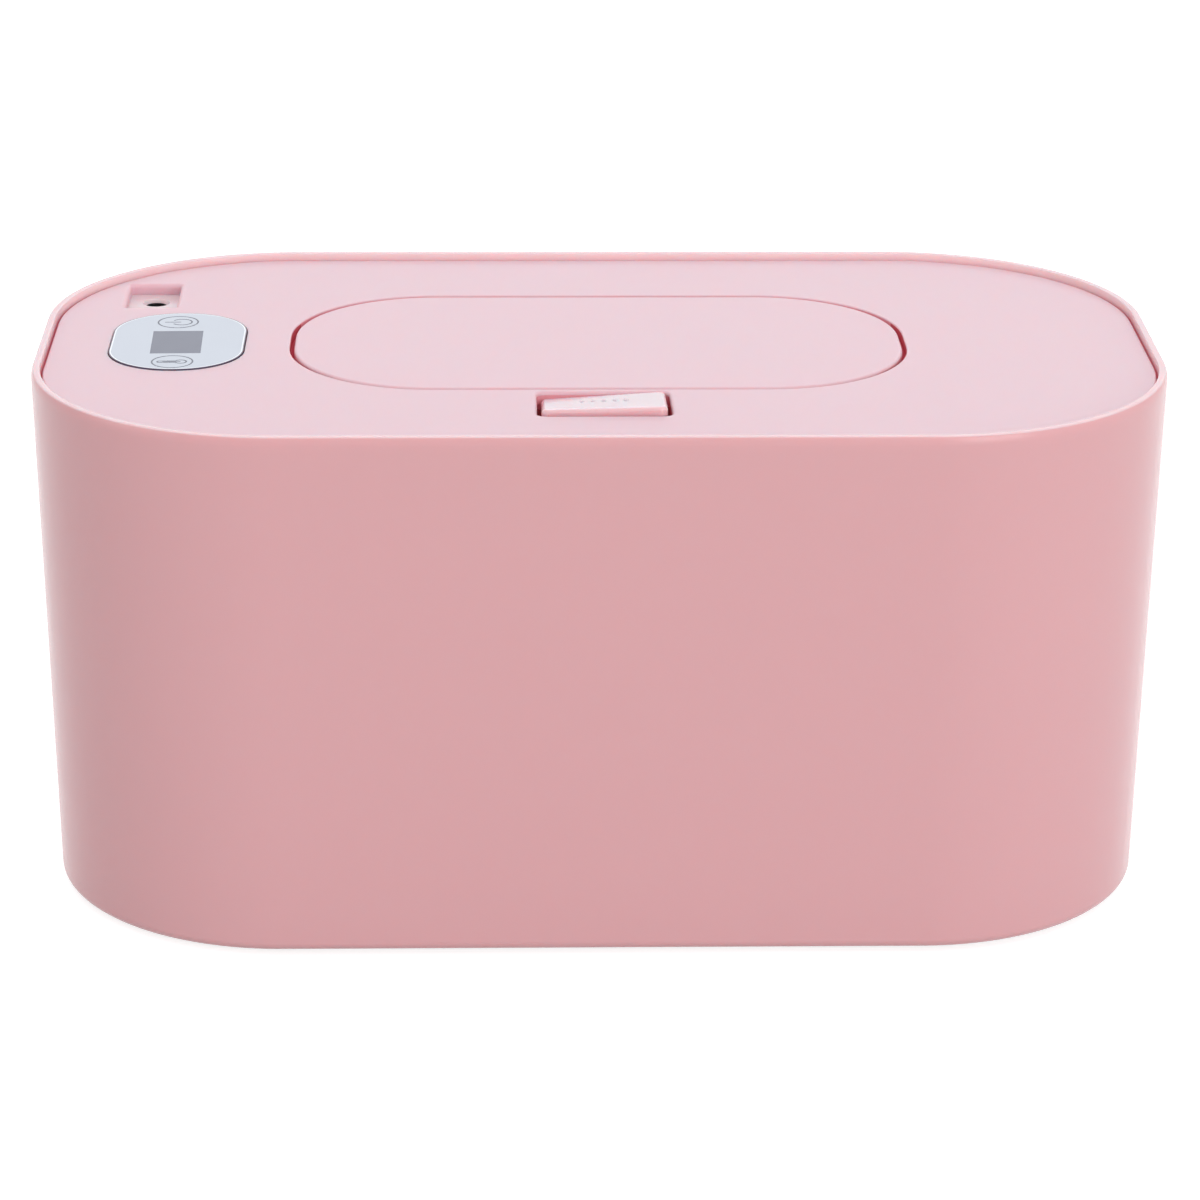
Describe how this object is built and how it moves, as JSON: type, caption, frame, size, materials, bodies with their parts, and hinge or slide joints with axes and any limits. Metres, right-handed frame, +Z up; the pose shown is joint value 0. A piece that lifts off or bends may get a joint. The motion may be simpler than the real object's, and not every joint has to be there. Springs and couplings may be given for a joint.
{
  "type": "baby wipe warmer",
  "caption": "Rounded oblong baby wipe warmer: tapered case, wipe tank and heated lift-off lid with a hinged flap, push-button latch, display panel and power inlet.",
  "frame": {"origin": "centre of the plane that the feet stand on, under the middle of the case", "axes": "+X along the case, away from the display panel; +Y from the button side to the back; +Z up"},
  "size_m": [0.2, 0.116, 0.0963],
  "materials": {
    "case_shell": "glossy pink ABS",
    "lid_shell": "satin pale pink ABS",
    "tank_white": "satin white polypropylene",
    "latch_white": "natural acetal",
    "silicone": "milky silicone",
    "foam": "closed-cell foam",
    "foot_rubber": "matt elastomer",
    "screw_steel": "zinc plated",
    "spring_steel": "drawn wire",
    "panel_lens": "back-printed clear acrylic",
    "display_face": "smoked grey, unlit",
    "circuit_board": "green solder mask",
    "component_black": "moulded epoxy",
    "contact_brass": "bright",
    "heater_aluminium": "satin anodised",
    "film_amber": "polyimide film",
    "fuse_white": "ceramic",
    "wire_red": "silicone insulation",
    "wire_black": "silicone insulation"
  },
  "bodies": {
    "case": {"outer_case": "case_shell", "inner_tank": "tank_white", "insulation_pad": "foam", "tank_screws": "screw_steel", "foot_front_left": "foot_rubber", "foot_front_right": "foot_rubber", "foot_back_left": "foot_rubber", "foot_back_right": "foot_rubber"},
    "lid": {"lid_top": "lid_shell", "outlet_well": "lid_shell", "lid_base": "tank_white", "lid_gasket": "silicone", "lid_screws": "screw_steel", "hinge_pin_left": "spring_steel", "hinge_pin_right": "spring_steel", "flap_spring": "spring_steel", "wipe_valve": "silicone", "button_springs": "spring_steel", "latch_spring": "spring_steel", "latch_housing": "latch_white", "housing_screws": "screw_steel", "panel_lens": "panel_lens", "display_module": "display_face", "touch_spring_power": "spring_steel", "touch_spring_mode": "spring_steel", "control_board": "circuit_board", "board_components": "component_black", "board_screws": "screw_steel", "power_jack": "component_black", "jack_pin": "contact_brass", "heater_plate": "heater_aluminium", "heater_film": "film_amber", "heater_screws": "screw_steel", "thermistor": "component_black", "thermal_fuse": "fuse_white", "heater_leads": "wire_red", "sensor_leads": "wire_black"},
    "flap": {"flap": "lid_shell", "flap_seal": "silicone"},
    "button": {"release_button": "lid_shell"},
    "latch": {"latch_slider": "latch_white"}
  },
  "joints": [
    {"name": "lid_lift", "type": "slide", "parent": "case", "child": "lid", "axis": [0, 0, 1], "range_m": [0, 0.06]},
    {"name": "flap_hinge", "type": "hinge", "parent": "lid", "child": "flap", "pos_m": [0, 0.0369, 0.0919], "axis": [-1, 0, 0], "range_deg": [0, 100]},
    {"name": "button_press", "type": "slide", "parent": "lid", "child": "button", "axis": [0, 0, -1], "range_m": [0, 0.0016], "stiffness_N_per_m": 600, "springref_m": -0.0005, "deforming": ["button_springs"]},
    {"name": "latch_slide", "type": "slide", "parent": "lid", "child": "latch", "axis": [0, -1, 0], "range_m": [0, 0.0016], "stiffness_N_per_m": 200, "springref_m": -0.0005, "deforming": ["latch_spring"]}
  ],
  "couplings": [
    {"joint": "latch_slide", "follows": "button_press", "ratio": 1}
  ]
}
